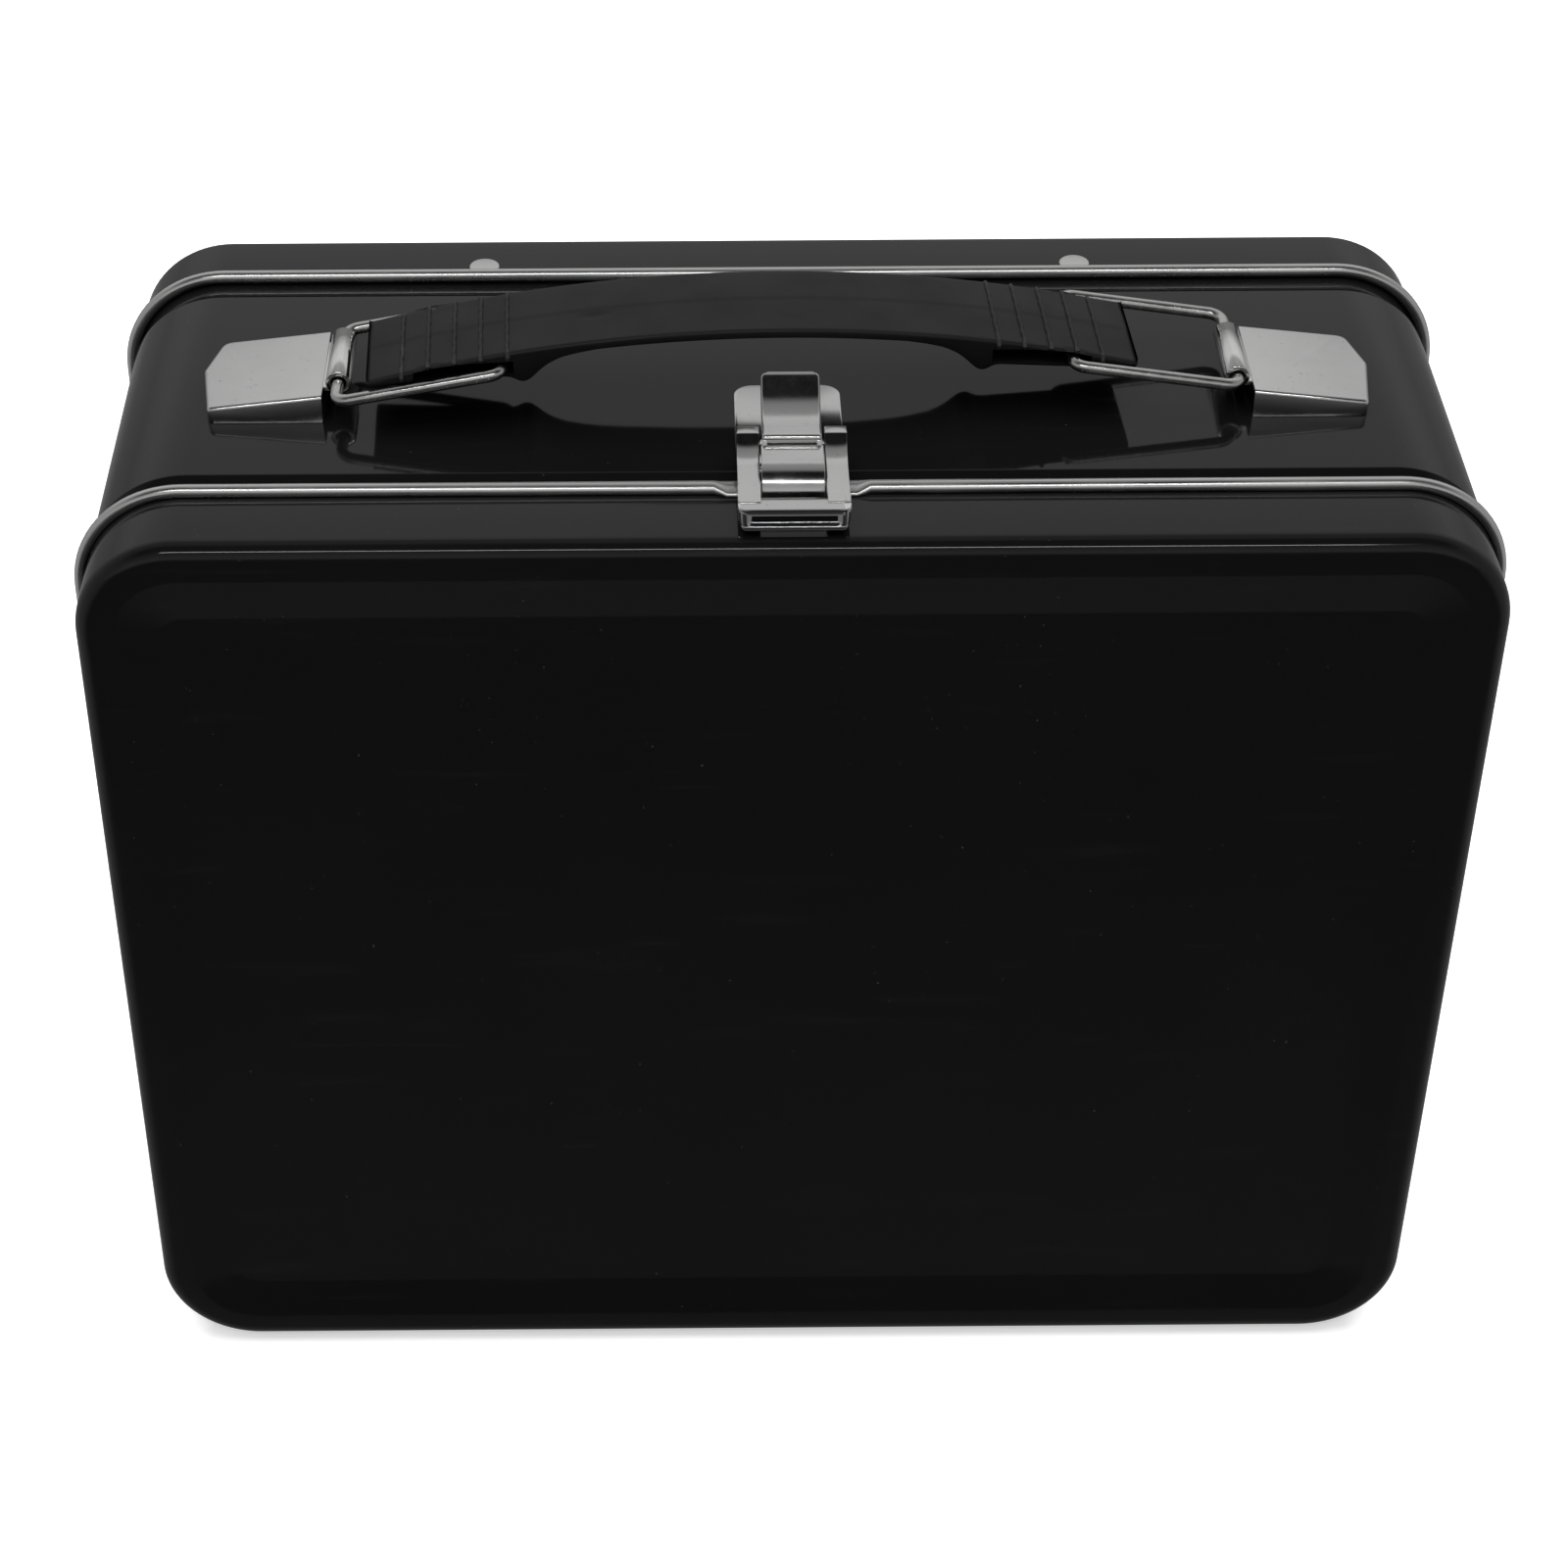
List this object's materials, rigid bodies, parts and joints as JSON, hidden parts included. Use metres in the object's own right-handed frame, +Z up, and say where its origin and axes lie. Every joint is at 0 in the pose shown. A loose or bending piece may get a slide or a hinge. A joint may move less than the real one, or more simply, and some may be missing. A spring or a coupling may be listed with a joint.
{
  "type": "lunch box",
  "caption": "Upright tin lunch box: a band between two shallow pans, the front pan a lid hinged at the bottom, with a press latch and a lifting grip on wire loops on top.",
  "frame": {"origin": "middle of the bounding box, on the plane the box stands on", "axes": "+X across the box's width, +Y from the lid to the back, +Z up to the handle"},
  "size_m": [0.2236, 0.0966, 0.189],
  "materials": {
    "black_lacquer": "gloss black lacquer on tinplate",
    "bare_tin": "bare tinplate, satin",
    "nickel": "nickel plate, lightly scuffed",
    "steel_wire": "drawn and plated steel wire",
    "black_vinyl": "satin black moulded plastic"
  },
  "bodies": {
    "box": {"band": "black_lacquer", "back_pan": "black_lacquer", "back_pan_rivets": "bare_tin", "hinge_body_leaf_left": "bare_tin", "hinge_body_leaf_right": "bare_tin", "hinge_pin_left": "steel_wire", "hinge_pin_right": "steel_wire", "hinge_body_rivets": "bare_tin", "handle_bracket_left": "nickel", "handle_bracket_right": "nickel", "latch_housing": "nickel", "latch_rivets": "nickel", "latch_pin": "steel_wire", "latch_spring": "steel_wire"},
    "lid": {"lid_pan": "black_lacquer", "hinge_lid_leaf_left": "bare_tin", "hinge_lid_leaf_right": "bare_tin", "hinge_lid_rivets": "bare_tin"},
    "latch": {"latch_lever": "nickel", "latch_hook": "nickel"},
    "loop_left": {"wire_loop_left": "steel_wire"},
    "loop_right": {"wire_loop_right": "steel_wire"},
    "grip": {"handle_grip": "black_vinyl"}
  },
  "joints": [
    {"name": "lid_hinge", "type": "hinge", "parent": "box", "child": "lid", "pos_m": [0, -0.0309, 0.00115], "axis": [1, 0, 0], "range_deg": [0, 120]},
    {"name": "latch_press", "type": "hinge", "parent": "box", "child": "latch", "pos_m": [0, -0.0324, 0.176], "axis": [-1, 0, 0], "range_deg": [0, 20], "stiffness_Nm_per_rad": 0.05, "springref_deg": -17.19},
    {"name": "handle_lift", "type": "slide", "parent": "box", "child": "grip", "axis": [0.4107, 0, 0.9118], "range_m": [0, 0.01437]},
    {"name": "loop_left_hinge", "type": "hinge", "parent": "box", "child": "loop_left", "pos_m": [-0.071, -0.0039, 0.1781], "axis": [0, -1, 0], "range_deg": [0, 30]},
    {"name": "loop_right_hinge", "type": "hinge", "parent": "box", "child": "loop_right", "pos_m": [0.071, -0.0007, 0.1781], "axis": [0, 1, 0], "range_deg": [0, 32]}
  ],
  "couplings": [
    {"joint": "loop_left_hinge", "follows": "handle_lift", "rad_per_m": 35.23},
    {"joint": "loop_right_hinge", "follows": "handle_lift", "rad_per_m": 38.06}
  ]
}
